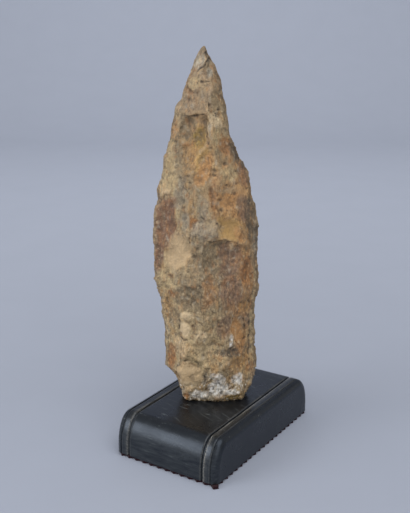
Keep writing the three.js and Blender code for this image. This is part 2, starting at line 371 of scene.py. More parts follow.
# A pale haze over the ends, partly scuffing and partly painted light that lightens them
haze_and_painted_light = add_node(
    ebonised_wood,
    "MapRange",
    {"Value": knocks.outputs["Fac"], "From Min": 0.3, "From Max": 0.7, "To Max": 0.3},
)
scuffs_and_painted_light = add_node(
    ebonised_wood,
    "Math",
    {0: scuffed.outputs["Value"], 1: haze_and_painted_light.outputs["Result"]},
    operation="MAXIMUM",
)
end_scuffs_and_painted_light = add_node(
    ebonised_wood,
    "Math",
    {0: on_end.outputs["Result"], 1: scuffs_and_painted_light.outputs["Value"]},
    operation="MULTIPLY",
)
specks = add_node(
    ebonised_wood,
    "MapRange",
    {"Value": knocks.outputs["Fac"], "From Min": 0.66, "From Max": 0.71, "To Max": 0.7},
)
top_marks = add_node(
    ebonised_wood,
    "Math",
    {0: arc_scratch.outputs["Value"], 1: specks.outputs["Result"]},
    operation="MAXIMUM",
)
marks_and_painted_light = add_node(
    ebonised_wood,
    "Math",
    {0: top_marks.outputs["Value"], 1: end_scuffs_and_painted_light.outputs["Value"]},
    operation="MAXIMUM",
)
marked_tint_and_painted_light = add_node(
    ebonised_wood,
    "Mix",
    {FACTOR: marks_and_painted_light.outputs["Value"], FIRST: wood_tint.outputs[MIXED], SECOND: linear(EBONY_SCRATCH_AND_PAINTED_LIGHT)},
    data_type="RGBA",
)
lips = add_node(ebonised_wood, "Attribute", attribute_name="worn")
rubbing = add_node(
    ebonised_wood,
    "TexNoise",
    {"Vector": along_grain.outputs["Vector"], "Scale": 1 / RUBBED_GRAIN, "Detail": 4.0, "Roughness": 0.65},
)
bare = add_node(
    ebonised_wood,
    "MapRange",
    {"Value": rubbing.outputs["Fac"], "From Min": 0.36, "From Max": 0.6, "To Max": 0.95},
)
# The left lip is less worn than the right one
lip_share = add_node(
    ebonised_wood,
    "MapRange",
    {"Value": levels.outputs["X"], "From Min": -0.02, "From Max": 0.02, "To Min": 0.5},
)
lip_bare = add_node(
    ebonised_wood,
    "Math",
    {0: lips.outputs["Fac"], 1: bare.outputs["Result"]},
    operation="MULTIPLY",
)
lip_wear = add_node(
    ebonised_wood,
    "Math",
    {0: lip_bare.outputs["Value"], 1: lip_share.outputs["Result"]},
    operation="MULTIPLY",
)
worn_wood = add_node(
    ebonised_wood,
    "Mix",
    {FACTOR: lip_wear.outputs["Value"], FIRST: marked_tint_and_painted_light.outputs[MIXED], SECOND: linear(EBONY_WORN)},
    data_type="RGBA",
)
gloss = add_node(
    ebonised_wood,
    "MapRange",
    {"Value": handling.outputs["Fac"], "From Min": 0.3, "From Max": 0.7, "To Min": 0.24, "To Max": 0.36},
)
unevenness = add_node(
    ebonised_wood,
    "Bump",
    {"Height": handling.outputs["Fac"], "Strength": 0.12, "Distance": 0.001},
)
pore_relief = add_node(
    ebonised_wood,
    "Bump",
    {
        "Height": pores.outputs["Fac"],
        "Normal": unevenness.outputs["Normal"],
        "Strength": 0.12,
        "Distance": 0.0002,
    },
)
polish = add_node(
    ebonised_wood,
    "BsdfPrincipled",
    {
        "Base Color": worn_wood.outputs[MIXED],
        "Roughness": gloss.outputs["Result"],
        "Normal": pore_relief.outputs["Normal"],
        "Specular IOR Level": 0.5,
        "Specular Tint": linear(EBONY_SHEEN),
    },
)
add_node(ebonised_wood, "OutputMaterial", {"Surface": polish.outputs["BSDF"]})

plinth = finish_piece(bm, "plinth_block", ebonised_wood)
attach(plinth, "root")
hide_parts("plinth")


# Stone axe
# One piece of weathered chert, flaked all over from both margins to a point, with a blunt butt that keeps
# some of its crust. It stands on the plinth on its butt.
STONE_TURN = math.radians(33)
STONE_VOXEL = 0.00055
STONE_GRIT = 0.0012
# From here on the stone's sizes are in millimetres
STONE_LENGTH = 198
WAVES = 0.7
RIPPLES = 0.12
CREASE_WIDTH = 0.42
CREASE_DEPTH = 0.35
EDGE_WIDTH = 0.6
EDGE_RISE = 0.2
PIT_SIZE = (1.1, 0.7)
PIT_DEPTH = 0.6
SETTLING = 0.28
# How many rounds of smoothing blunt the arrises, and how many find the hollows that hold dirt
SOFTENING = 10
HOLLOW_REACH = 36
BUFF = "#ae9973"
BEIGE = "#bda37e"
PALE_GREY = "#a59c8b"
TIP_GREY = "#5f594f"
GREY_BEIGE = "#907d5f"
GREY_GREEN = "#7d6d54"
GREY_BLUE = "#8d887b"
OLIVE = "#8d7440"
YELLOW = "#b28f59"
OCHRE = "#987446"
ORANGE = "#b28554"
RUST = "#8f6238"
RED_BROWN = "#765641"
MAUVE = "#785f4d"
UMBER = "#564a3c"
DIRT_AND_SHADE = "#3a2f25"
CREAM = "#c8b28f"
PINK_GREY = "#937d63"
CHALK = "#dad7d0"

# Flake scars, bosses and stains on the showing face, each over the last: the tint, the middle as x and
# height, half width, half height, turn in degrees, strength of the tint, and the scar's depth, less than zero
# for a boss. Every scar is sunk this many times as deep as its row says.
SCAR_DEEPENING = 1.6
SCARS = [
    (PALE_GREY, -9.5, 190.5, 2.2, 5, -30, 0.95, 0.4),
    (GREY_GREEN, -6, 188, 2.2, 3.2, -30, 0.85, 0.5),
    (TIP_GREY, -7.5, 196, 2.5, 3.2, 0, 0.7, 0.2),
    (UMBER, -5.8, 194, 1.2, 2.2, -15, 0.9, 0.2),
    (PINK_GREY, -6, 183.5, 3.5, 3, 0, 0.8, 0.5),
    (PALE_GREY, -4.5, 185, 2, 2.5, 0, 0.85, 0),
    (BUFF, -13, 179, 3, 2.5, 0, 0.6, 0.3),
    (RUST, -15, 175, 2, 1.5, -20, 0.5, 0.3),
    (GREY_BEIGE, -0.5, 170.5, 3, 6, 12, 0.8, 0.6),
    (PINK_GREY, -16, 167, 5, 5, 0, 0.8, 0.6),
    (GREY_GREEN, -16.5, 155, 4.5, 7.5, 0, 0.6, 0.8),
    (OLIVE, -10, 151.5, 3.5, 6.5, -8, 0.9, 0.6),
    (ORANGE, -23, 155, 1.5, 4.5, -18, 0.7, 0.3),
    (CREAM, -1.5, 160, 3.5, 3.5, 20, 1, 0.3),
    (PALE_GREY, -4.5, 156.5, 1, 2, 0, 0.7, 0),
    (BUFF, -0.5, 150, 2.2, 6, 5, 0.9, 0.1),
    (RUST, 4, 146, 3.5, 5, 25, 0.75, 0.5),
    (UMBER, 11, 140, 2.5, 8, 28, 0.85, 0.3),
    (OCHRE, -15, 142, 6, 5, 0, 0.65, 0.4),
    (RUST, -16, 147, 3, 1, 0, 0.5, 0),
    (GREY_BEIGE, -21.5, 160, 1.5, 4, -10, 0.7, 0),
    (GREY_GREEN, -21.5, 141, 2.2, 9, 0, 0.75, 0.2),
    (BUFF, -27, 133, 2.5, 7, -14, 0.9, 0.6),
    (YELLOW, -8, 139.5, 3.8, 6, -15, 1, 0.1),
    (GREY_GREEN, 0.5, 140.5, 2, 5, 5, 0.7, 0.2),
    (ORANGE, -7, 134.5, 3, 9, -22, 1, 0.4),
    (GREY_BLUE, -20, 120.5, 3, 9.5, -8, 0.45, 0.4),
    (BUFF, 6.5, 132, 5, 4.5, 0, 0.8, 0.4),
    (RED_BROWN, 13.5, 130, 2.2, 6, 18, 0.7, 0.2),
    (RUST, -2.5, 118.5, 2, 9, 3, 0.75, 0.6),
    (ORANGE, 6, 119, 6, 6.5, 10, 0.75, 0.5),
    (BEIGE, 6.5, 123, 4, 2.5, 0, 0.7, 0.2),
    (MAUVE, 14, 112.5, 3, 7, 8, 0.8, 0.2),
    (UMBER, 18, 105.5, 2.5, 11, 3, 0.8, 0.4),
    (GREY_BLUE, -8, 113.5, 3, 6.5, 0, 0.4, 0.3),
    (OCHRE, -14.5, 112, 2, 8.5, -5, 0.6, 0.4),
    (RUST, -13, 105.5, 2.5, 4, 0, 0.9, 0.3),
    (GREY_BLUE, -17.5, 106.5, 2, 5, -3, 0.55, 0.3),
    (BEIGE, -28, 121, 2.5, 2, 0, 0.9, -0.5),
    (RED_BROWN, -28.5, 105, 6, 14, -5, 1, 0.6),
    (RED_BROWN, -32.5, 86.5, 2.5, 9.5, -8, 1, 0.3),
    (BUFF, -22, 110, 1.5, 3, 0, 0.9, -0.3),
    (YELLOW, 6, 102, 6, 7, 25, 0.95, 0.7),
    (ORANGE, 12.5, 97.5, 2.5, 5, 25, 0.8, 0.4),
    (GREY_BLUE, -6, 102, 7.5, 5, 0, 0.6, -1.4),
    (GREY_BEIGE, -4, 106, 2.5, 2, 0, 0.6, 0),
    (BEIGE, -21.5, 88.5, 6, 11, -22, 1, 0.9),
    (GREY_BEIGE, -16.5, 93, 2, 4, -22, 0.6, 0),
    (GREY_GREEN, -7, 85.5, 7.5, 9.5, -10, 0.75, 0.8),
    # A thin band of painted shade just under the arch
    (GREY_GREEN, -2, 93, 7.5, 2.5, 0, 0.5, 0.3),
    (MAUVE, 6, 83, 5, 10.5, 8, 0.85, 0.6),
    (RED_BROWN, 11, 88, 3, 5, 8, 0.7, 0),
    (RUST, 16, 77.5, 3.5, 9, 5, 0.8, 0.4),
    (BUFF, 21, 73.5, 1, 4.5, 0, 0.7, 0),
    (GREY_BLUE, 21, 92, 1.5, 5, 0, 0.6, 0),
    (BUFF, -28, 72, 5, 7, -12, 1, 0.4),
    (RUST, -26, 75, 2, 1.5, 0, 0.6, 0.5),
    (GREY_GREEN, -14.5, 65.5, 8.5, 7.5, 0, 0.75, 0.5),
    (RUST, -4, 68.5, 3.5, 8.5, 0, 0.6, 0.3),
    (MAUVE, 7.5, 68, 6, 8.5, 0, 0.85, 0.5),
    (OCHRE, -28, 56.5, 3, 7.5, 0, 0.6, 0.4),
    (RUST, -25.5, 64.5, 2, 2, 0, 0.8, 0),
    (OCHRE, 15, 58, 3, 4.5, 0, 0.7, 0.3),
    (GREY_BEIGE, -9, 47, 9, 7, 0, 0.5, 0.3),
    (GREY_GREEN, -24, 51, 4, 5, 0, 0.7, 0.2),
    (CREAM, -8.5, 42, 3, 3, 0, 0.7, -0.3),
    (MAUVE, 3.5, 47, 4, 6.5, 0, 0.75, 0.3),
    (CREAM, -17.5, 52.5, 3, 2.5, 0, 1, -0.8),
    (CREAM, -18.5, 45, 3, 4, 0, 0.9, -0.9),
    (CHALK, 7.5, 38, 1, 4, -5, 0.7, 0),
    (BUFF, 20.5, 42, 1.8, 18, 0, 0.9, -0.4),
    (UMBER, 9, 31.5, 8, 3.5, 0, 0.95, 0.5),
    (OCHRE, 12, 23.5, 6, 3.5, 0, 0.75, 0.3),
    (ORANGE, 12, 40, 3, 9.5, 13, 1, 0.9),
    (BEIGE, -20.5, 34.5, 3.5, 5.5, 0, 0.75, 0),
    (GREY_BEIGE, -4, 35, 9, 7, 0, 0.5, 0.3),
    (BUFF, -13, 28, 3.5, 2, 0, 0.8, -0.2),
    (RUST, -26, 26.5, 2, 7.5, 0, 0.85, 0.2),
    (BEIGE, -15.5, 17, 7, 8, 0, 0.9, -1.6),
    (UMBER, -14, 16, 1.6, 2, 0, 0.45, 0),
    (CREAM, -16, 11.5, 4.5, 2.2, 0, 0.7, 0),
    (GREY_BLUE, -7, 15, 1.5, 5, -10, 0.6, 0.4),
    (CHALK, -0.5, 17.5, 3.5, 3, 0, 0.6, -0.3),
    (BUFF, -6.5, 23.5, 2.5, 2, 0, 0.8, -0.5),
    (CHALK, 0.5, 9.5, 5.5, 5.5, 20, 1, 0),
    (CHALK, 11.5, 14, 3, 3, 0, 0.9, 0),
    (GREY_GREEN, 14.5, 8.5, 3, 3.5, 0, 0.8, 0),
    (CHALK, -10, 4.5, 5.5, 2.8, 0, 1, 0),
    (OLIVE, 9, 3, 5, 1.5, 0, 0.8, 0),
    (CHALK, 8.5, 6.5, 4, 1.6, 0, 0.9, 0),
    (RUST, -17.5, 3, 1.5, 2.5, 0, 0.9, 0),
    (RUST, 19, 18.5, 2.5, 3.5, 0, 0.7, 0),
]
# Broad washes of stain that lie under them: tint, x and height, half width, half height and strength
WASHES = [
    (OCHRE, -10, 146, 10, 22, 0.6),
    (ORANGE, 7, 116, 11, 26, 0.65),
    (BUFF, -27, 132, 6, 22, 0.7),
    (GREY_BEIGE, -13, 112, 9, 18, 0.6),
    (GREY_GREEN, -8, 66, 13, 20, 0.7),
    (RUST, 12, 68, 9, 24, 0.6),
    (BUFF, -28, 62, 5, 16, 0.6),
    (PINK_GREY, -8, 180, 12, 16, 0.7),
    (BUFF, -12, 38, 16, 18, 0.7),
    (OCHRE, 14, 28, 8, 14, 0.6),
]
# Steps between scars, as x and height along a line. The face is sunk by a depth on the right hand of the line
# and comes back over a distance.
STEPS = [
    ([(-11.5, 185), (-7.5, 188.5), (-5, 192)], 0.5, 4),
    ([(-21.5, 164.5), (-18.5, 162.5), (-16.5, 162), (-13, 162), (-10, 162.5), (-7.5, 163.5)], 0.7, 8),
    ([(3, 162.5), (0.5, 162.5), (-2, 164), (-5, 165), (-5.5, 169)], 0.8, 4),
    ([(-6, 164.5), (-6, 158), (-4.5, 148)], 0.8, 6),
    ([(-1.5, 110), (-3.5, 115.5), (-5.5, 126), (-3.5, 137), (-4, 145)], 0.6, 5),
    ([(-31.5, 116.5), (-28.5, 120), (-25, 121), (-22, 119.5)], 0.5, 4),
    ([(-11, 92.5), (-10, 95), (-7.5, 96.5), (-1.5, 96.5), (4.5, 96), (11, 93.5)], 1.2, 10),
    ([(-10, 95), (-12.5, 88.5), (-13.5, 83.5), (-17.5, 80), (-21.5, 78)], 0.5, 8),
    ([(13.5, 31.5), (10, 39), (8, 45.5), (8.5, 51.5)], 0.7, 4),
    ([(15, 49.5), (16.5, 40.5), (15, 31.5)], 0.6, 3),
    (
        [(19.5, 24.5), (19, 37.5), (18.5, 49), (20.5, 64.5), (21, 79), (19.5, 91), (19, 108), (17.5, 124.5)],
        0.4,
        4,
    ),
    ([(-7, 8.5), (-6, 16.5), (-8, 24), (-14, 27), (-21, 24)], 0.6, 4),
]
# Creases painted dark, as grime and as the shade under their ledges, with their strength, and edges painted
# pale as highlights along the arrises
CREASES = [
    ([(-4.5, 191.5), (-8, 188.5), (-11, 185.5)], 1.6),
    ([(-9.5, 180), (-7, 179.5), (-4.5, 180.5)], 1.3),
    ([(-4.5, 179), (-7.5, 177), (-11, 173.5)], 0.4),
    ([(-17.5, 177.5), (-13.5, 175), (-11.5, 174.5)], 1.2),
    ([(-5.5, 172.5), (-5, 169), (-4.5, 165.5)], 1.1),
    ([(-2, 163.5), (0.5, 162), (3, 162.5)], 0.8),
    ([(-19.5, 162), (-16.5, 161.5), (-13, 162), (-7.5, 163)], 1),
    ([(-15.5, 160), (-15.5, 154.5)], 0.5),
    ([(-6, 161), (-6, 155.5), (-5.5, 148.5)], 0.6),
    (
        [
            (-20, 162),
            (-20, 156),
            (-22, 149.5),
            (-22.5, 138.5),
            (-21.5, 132.5),
            (-19, 126.5),
            (-17, 123),
            (-15.5, 120),
        ],
        0.6,
    ),
    ([(-15.5, 120), (-19.5, 114.5), (-20.5, 108)], 0.4),
    ([(-2, 137), (-4, 126), (-4, 119), (-2.5, 110.5)], 0.5),
    ([(0, 126), (-1, 119), (0, 112.5), (2, 105.5), (3, 98)], 0.6),
    ([(-9, 109.5), (-5.5, 107.5), (-0.5, 105.5)], 1.2),
    ([(-15.5, 95), (-14, 102), (-10.5, 106), (-8, 107.5)], 1),
    ([(-11, 93.5), (-10, 95), (-7.5, 96.5), (-1.5, 96.5), (4.5, 96), (11, 93.5)], 0.7),
    ([(14.5, 119), (15, 111.5), (17, 102.5), (18, 92.5)], 0.6),
    ([(8.5, 51.5), (8.5, 44), (10.5, 37.5), (13.5, 32)], 1.3),
    ([(14.5, 49.5), (16, 42.5), (15.5, 36.5), (14, 32.5)], 1.2),
    ([(17.5, 59.5), (18, 46.5), (18, 34.5), (18.5, 23.5)], 1.1),
    ([(-21, 49), (-22, 43), (-20.5, 39.5), (-17, 39.5)], 1.1),
    ([(-23.5, 15), (-22, 22), (-19.5, 26), (-15.5, 27), (-11, 26), (-8, 21.5), (-7, 15), (-8.5, 8)], 0.8),
    ([(4, 52.5), (2.5, 45.5), (5, 37)], 0.5),
]
EDGES = [
    [(-5, 166), (-4, 163)],
    [(-2, 164.5), (3, 163.5)],
    [(-1.5, 104.5), (1, 102), (2.5, 99)],
    [(-15, 99), (-13.5, 103), (-10.5, 105.5)],
    [(-31, 119.5), (-28.5, 122), (-25.5, 122.5)],
    [(-11.5, 93), (-10, 95.5)],
    [(6.5, 92.5), (10.5, 92.5)],
    [(-6.5, 159.5), (-5, 154.5)],
    [(19, 9.5), (21.5, 12.5)],
    [(-8.5, 192.5), (-11.5, 187)],
    [(20.5, 62), (21, 52), (20, 41)],
    [(-3.5, 128), (-2.5, 122)],
    [(10.5, 45), (12, 40), (13.5, 33.5)],
]
# Pits on the showing face, as x and height
PITS = [(-20.5, 129.5), (-16, 131), (-15, 127.5), (-2, 134), (-2, 131.5), (4, 137.5), (5, 126), (10.5, 126.5)]
PITS += [(10, 133), (1.5, 118.5), (1.5, 113), (-18.5, 114), (-6.5, 194.5), (1, 165.5), (-23, 148.5)]
PITS += [(-14, 47), (1.5, 47.5), (-27, 74.5), (-4.5, 168)]
# The butt's two corners, struck off: the x that each is struck from, then x and height of the margin there
CORNERS = [
    (-8, [(-19, 0.5), (-21.5, 7.5), (-24, 14.5), (-29.5, 18.5)]),
    (6, [(15.5, 0), (18.5, 5.5), (21, 10.5), (22.5, 17)]),
]
# Where a margin swells: by how much, its x, the middle height and half the height. Across the stone a swell
# is whole within the nearer distance and gone at the further one.
SWELLS = [(1.7, 17, 125.5, 7), (-1.3, -31.5, 125, 9)]
SWELL_NEAR = 2
SWELL_FAR = 14
# The butt's front is flat at the foot and meets the wood in a straight line, at this y. It comes forward by
# no more than a limit, and keeps its own form from a height up.
FOOT_FRONT = -11.8
FOOT_LEFT = -18
FOOT_RIGHT = 14
FOOT_LIMIT = 8
FOOT_HEIGHT = 22
# The back's scars are struck from its two margins in turn, each a step higher
BACK_SCARS = 14
BACK_FIRST = 14
BACK_STEP = 12
BACK_DEPTH = 1.6
BACK_TINTS = [BUFF, GREY_BEIGE, OCHRE, GREY_GREEN, RED_BROWN]

# Weathered chert: a close stone with a dull, chalky skin with ochre and brown stains, paler on the rises with
# painted highlights on the arrises, dark in its pits and darker in its hollows, and darkened with painted
# shade in its creases and down its right margin. Its grit is finer than this, and is drawn as coarse as it
# needs to show.
chert = new_material("weathered_chert")

stone_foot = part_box("stone_axe")[0].z
bm = bmesh.new()
bm.from_mesh(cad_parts["stone_axe"].data)
bmesh.ops.remove_doubles(bm, verts=bm.verts, dist=1e-6)
stone = finish_piece(bm, "chipped_stone", chert)
even = stone.modifiers.new("even_skin", "REMESH")
even.mode = "VOXEL"
even.voxel_size = STONE_VOXEL
skin = bpy.data.meshes.new_from_object(stone.evaluated_get(bpy.context.evaluated_depsgraph_get()))
stone.modifiers.clear()
stone.data = skin
skin.materials.clear()
skin.materials.append(chert)

count = len(skin.vertices)
points = np.empty(count * 3)
skin.vertices.foreach_get("co", points)
ends = np.empty(len(skin.edges) * 2, int)
skin.edges.foreach_get("vertices", ends)
ends = ends.reshape(-1, 2)
neighbours = np.bincount(ends.ravel(), minlength=count)[:, None]

# The stone's own frame, in millimetres: x across the blade, -y its showing face, z up from the butt
own_turn = np.array(Matrix.Rotation(STONE_TURN, 3, "Z"))
own = (points.reshape(-1, 3) - (0, 0, stone_foot)) @ own_turn * 1000


def averaged(values):
    """The mean of each vertex's neighbours."""
    total = np.empty_like(values)
    for axis in range(values.shape[1]):
        sums = np.bincount(ends[:, 0], values[ends[:, 1], axis], count)
        total[:, axis] = sums + np.bincount(ends[:, 1], values[ends[:, 0], axis], count)
    return total / neighbours


def outward(places):
    """The stone's vertex normals for these places of its vertices, in its own frame."""
    skin.vertices.foreach_set("co", (places / 1000 @ own_turn.T + (0, 0, stone_foot)).ravel())
    skin.update()
    normals = np.empty(count * 3)
    skin.vertices.foreach_get("normal", normals)
    return normals.reshape(-1, 3) @ own_turn


def field_of(size, octaves, seed, stretch=1):
    """A smooth random field over the stone, from about -1 to 1, with features of a size in millimetres."""
    scale = np.array([1, 1, 1 / stretch]) / size
    offset = (seed * 13.7, seed * 5.1, seed * 9.3)
    return np.array([noise.fractal(p, 1.0, 2.0, octaves) for p in own * scale + offset])


def eased(values, start, stop):
    """A smooth rise from 0 at a start to 1 at a stop."""
    share = np.clip((values - start) / (stop - start), 0, 1)
    return share * share * (3 - 2 * share)


def beside(line, drawn):
    """How far points on the face lie from a line across it, less than zero on the line's right hand."""
    nearest = np.full(count, np.inf)
    signed = np.zeros(count)
    for start, stop in zip(line, line[1:]):
        run = np.subtract(stop, start)
        away = drawn - start
        share = np.clip(away @ run / (run @ run), 0, 1)
        distance = np.hypot(*(away - share[:, None] * run).T)
        side = np.sign(run[0] * away[:, 1] - run[1] * away[:, 0])
        signed = np.where(distance < nearest, distance * side, signed)
        nearest = np.minimum(distance, nearest)
    return signed


# Wear rounds the arrises without shrinking the stone, and leaves the point sharp
blunt = 0.5 * eased(own[:, 2], STONE_LENGTH - 1, STONE_LENGTH - 5)[:, None]
for _ in range(SOFTENING):
    own = own + blunt * (averaged(own) - own)
    own = own - 1.04 * blunt * (averaged(own) - own)
# The butt's corners are struck off, the margins swell, and the foot's front is made flat
for inner, corner in CORNERS:
    level = np.clip(own[:, 2], 0, STONE_LENGTH).astype(int)
    reach = np.zeros(STONE_LENGTH + 1)
    np.maximum.at(reach, level, (own[:, 0] - inner) * np.sign(inner))
    margin_x, margin_z = np.transpose(corner)
    kept = np.abs(np.interp(own[:, 2], margin_z, margin_x) - inner)
    reached = np.interp(own[:, 2], np.arange(STONE_LENGTH + 1) + 0.5, np.maximum(reach, 1))
    kept = np.minimum(kept / reached, 1)
    struck = (own[:, 0] * np.sign(inner) > abs(inner)) & (own[:, 2] < margin_z[-1])
    own[:, 0] = np.where(struck, inner + (own[:, 0] - inner) * kept, own[:, 0])
for swell, x, z, half_height in SWELLS:
    nearby = eased(np.abs(own[:, 0] - x), SWELL_FAR, SWELL_NEAR)
    own[:, 0] += swell * (nearby * np.exp(-(((own[:, 2] - z) / half_height) ** 2)))
foot = own[(own[:, 2] > 1) & (own[:, 2] < 4)]
foot_line = np.arange(FOOT_LEFT, FOOT_RIGHT + 1)
foot_front = np.array([foot[np.abs(foot[:, 0] - x) < 1, 1].min() for x in foot_line])
foot_shift = np.interp(own[:, 0], foot_line, np.maximum(FOOT_FRONT - foot_front, -FOOT_LIMIT))
own[:, 1] += foot_shift * eased(own[:, 2], FOOT_HEIGHT, 2)
# The flaked faces are never flat: they wave, and ripple a little
own = own + np.stack([field_of(9, 4, k) for k in (1, 2, 3)], axis=1) * WAVES
own = own + np.stack([field_of(3.5, 3, k) for k in (21, 22, 23)], axis=1) * RIPPLES
normals = outward(own)
showing = eased(normals[:, 1], 0.15, -0.25)

# Scars, drawn a little unsteadily. Where they overlap the deeper one shows, which leaves an arris.
flat = own[:, [0, 2]]
unsteady = np.stack([field_of(6, 3, 4), field_of(6, 3, 5)], axis=1)
scarred = np.zeros(count)
within = []
relief = np.zeros(count)
for tint, x, z, half_width, half_height, turn, strength, depth in SCARS:
    turned = np.array(Matrix.Rotation(math.radians(turn), 2))
    across = (flat + unsteady * min(0.4 * half_width, 2) - (x, z)) @ turned / (half_width, half_height)
    within.append(np.hypot(*across.T))
    scarred = np.maximum(scarred, max(depth, 0) * (1 - within[-1] ** 2))
    relief -= min(depth, 0) * eased(within[-1], 1.1, 0.3)
relief -= SCAR_DEEPENING * scarred
# Steps, creases and edges, each broken here and there, and pits
shaky = np.stack([field_of(2.4, 2, 16), field_of(2.4, 2, 17)], axis=1)
drawn = flat + unsteady * 0.7 + shaky * 0.6
broken = np.clip(0.7 + 0.8 * field_of(5, 2, 11), 0, 1.3)
for line, depth, ease in STEPS:
    signed = beside(line, drawn)
    relief -= np.where(signed < 0, depth * np.exp(signed / ease), 0) * broken
creased = np.zeros(count)
for line, strength in CREASES:
    creased = np.maximum(creased, strength * np.exp(-((beside(line, drawn) / CREASE_WIDTH) ** 2)))
edge_highlights = np.zeros(count)
for line in EDGES:
    edge_highlights = np.maximum(edge_highlights, np.exp(-((beside(line, drawn) / EDGE_WIDTH) ** 2)))
creased *= np.clip(0.65 + 1.2 * field_of(2.8, 2, 12), 0, 1) * showing
edge_highlights *= np.clip(0.4 + 1.3 * field_of(2.0, 2, 13), 0, 1) * showing
relief += EDGE_RISE * edge_highlights - CREASE_DEPTH * creased
pitted = np.zeros(count)
for pit in PITS:
    pitted = np.maximum(pitted, np.exp(-(((flat + 0.5 * shaky - pit) / PIT_SIZE) ** 2).sum(axis=1)))
relief -= PIT_DEPTH * pitted
relief *= showing
# The back is plainer, with broad scars alone
hidden = eased(normals[:, 1], -0.1, 0.3)
behind = []
for k in range(BACK_SCARS):
    rise = BACK_FIRST + BACK_STEP * k
    back_middle = (12 * (1 - rise / 230) * (-1) ** k - 5, rise)
    behind.append(np.hypot(*((flat + 3 * unsteady - back_middle) / (13 - 0.4 * k, 14)).T))
relief -= BACK_DEPTH * np.clip(1 - np.min(behind, axis=0) ** 2, 0, 1) * hidden

# The skin is hackly all over, smoother in the clean scars and rough in the crust of the butt
coarse = field_of(4.2, 4, 6)
fine = field_of(1.3, 3, 7)
lumps = np.abs(field_of(7, 4, 18))
crust = eased(own[:, 2] + 3 * coarse, 17, 9)
clean = np.zeros(count)
for (*_, strength, depth), share in zip(SCARS, within):
    if strength >= 0.85 and abs(depth) >= 0.7:
        clean = np.maximum(clean, eased(share, 1.1, 0.8) * showing)
rough = (1 - 0.85 * clean) * (0.45 + 0.75 * eased(own[:, 2], 115, 60)) * (1 + 0.8 * crust)
relief += rough * (0.22 * coarse + 0.13 * fine + 0.7 * np.minimum(lumps, 0.5))
own = own + normals * relief[:, None]
# The butt settles on the wood
own[:, 2] -= SETTLING * eased(own[:, 2], 4, 0)

# How far each point stands above the smoothed stone, less than zero in a hollow
normals = outward(own)
spread = own
for _ in range(HOLLOW_REACH):
    spread = (spread + averaged(spread)) / 2
height = np.einsum("ij,ij->i", own - spread, normals)
height = np.where(height < 0, height * (1 - 0.7 * clean), height)

# The skin's colour: a mottled ground, then the stains of the showing face with ragged edges, then streaks and
# grain, with painted highlights on the arrises and painted shade in the creases and down the right margin
broad = field_of(13, 4, 8)
patchy = field_of(5, 4, 9, 1.6)
speckle = field_of(1.6, 3, 10)
streak = field_of(1.7, 3, 14, 4)
grain = field_of(0.8, 2, 15, 2.2)
threads = np.abs(field_of(3, 3, 19, 5))
rusty = field_of(2.4, 3, 20, 1.6)
layers = [
    (BUFF, eased(broad, -0.1, 0.5)),
    (OCHRE, eased(patchy, 0.05, 0.6) * 0.7),
    (GREY_BLUE, eased(-patchy, 0.1, 0.7) * 0.5),
    (RED_BROWN, eased(broad - patchy, 0.6, 1.2) * 0.5),
]
for tint, x, z, half_width, half_height, strength in WASHES:
    share = np.hypot(*((flat + 3 * unsteady - (x, z)) / (half_width, half_height)).T)
    layers.append((tint, strength * eased(share + 0.3 * patchy, 1.5, 0.5) * showing))
frayed = 0.25 * coarse + 0.15 * speckle
for (tint, *_, strength, _), share in zip(SCARS, within):
    grained = strength * (1 + (1.2 if tint == CHALK else 0.3) * speckle)
    layers.append((tint, np.clip(grained, 0, 1) * eased(share + frayed, 1.35, 0.75) * showing))
for k, share in enumerate(behind):
    layers.append((BACK_TINTS[k % len(BACK_TINTS)], 0.55 * eased(share + frayed, 1.2, 0.6) * hidden))
# The outline's two margins at each millimetre of height, which are crushed and soiled; the right one is also
# darkened with painted shade, as it turns away from the light
level = np.clip(own[:, 2], 0, STONE_LENGTH).astype(int)
right_edge = np.full(STONE_LENGTH + 1, -np.inf)
left_edge = np.full(STONE_LENGTH + 1, np.inf)
np.maximum.at(right_edge, level, own[:, 0])
np.minimum.at(left_edge, level, own[:, 0])
margin = eased(np.minimum(right_edge[level] - own[:, 0], own[:, 0] - left_edge[level]), 5, 1)
handled = 0.55 + 0.4 * eased(own[:, 2], 120, 60) + 0.4 * crust + 0.4 * margin
spotted = (1 - 0.6 * clean) * np.clip(handled, 0, 1.3)
threaded = eased(threads, 0.07, 0.01) * eased(own[:, 2], 90, 105) * eased(patchy, -0.4, 0.2)
layers += [
    (GREY_GREEN, eased(streak, 0.05, 0.6) * 0.4 * (1 - 0.8 * clean)),
    (ORANGE, eased(-streak, 0.1, 0.7) * 0.3 * (1 - 0.8 * clean)),
    (RUST, eased(rusty, 0.25, 0.8) * 0.5 * (1 - 0.8 * clean) * (1 - crust)),
    (PALE_GREY, eased(-rusty, 0.3, 0.8) * 0.45 * (1 - 0.8 * clean)),
    (CREAM, eased(grain - 0.3 * coarse, 0.35, 0.9) * 0.6 * spotted),
    (CHALK, eased(grain, 0.3, 0.7) * 0.8 * crust * showing),
    (DIRT_AND_SHADE, eased(-grain - 0.8 * coarse, 0.35, 0.9) * 0.45 * spotted),
    (DIRT_AND_SHADE, eased(lumps, 0.06, 0.0) * eased(patchy, -0.2, 0.4) * 0.5 * (1 - clean)),
    (DIRT_AND_SHADE, threaded * 0.5 * (1 - clean) * showing),
    # Painted highlights, pale along the arrises
    (CREAM, 0.7 * edge_highlights),
    (DIRT_AND_SHADE, 0.5 * pitted * showing),
    # Painted shade with grime, dark along the creases
    (DIRT_AND_SHADE, np.minimum(0.8 * creased, 0.9)),
    # Painted shade down the right margin, which turns from the light, over a darker stain
    (DIRT_AND_SHADE, 0.6 * eased(right_edge[level] - own[:, 0] + coarse, 2.6, 0.6)),
    (UMBER, 0.6 * eased(own[:, 0] - left_edge[level] + 2 * speckle, 1.6, 0)),
]
patina_and_painted_light = np.tile(linear(GREY_BEIGE)[:3], (count, 1))
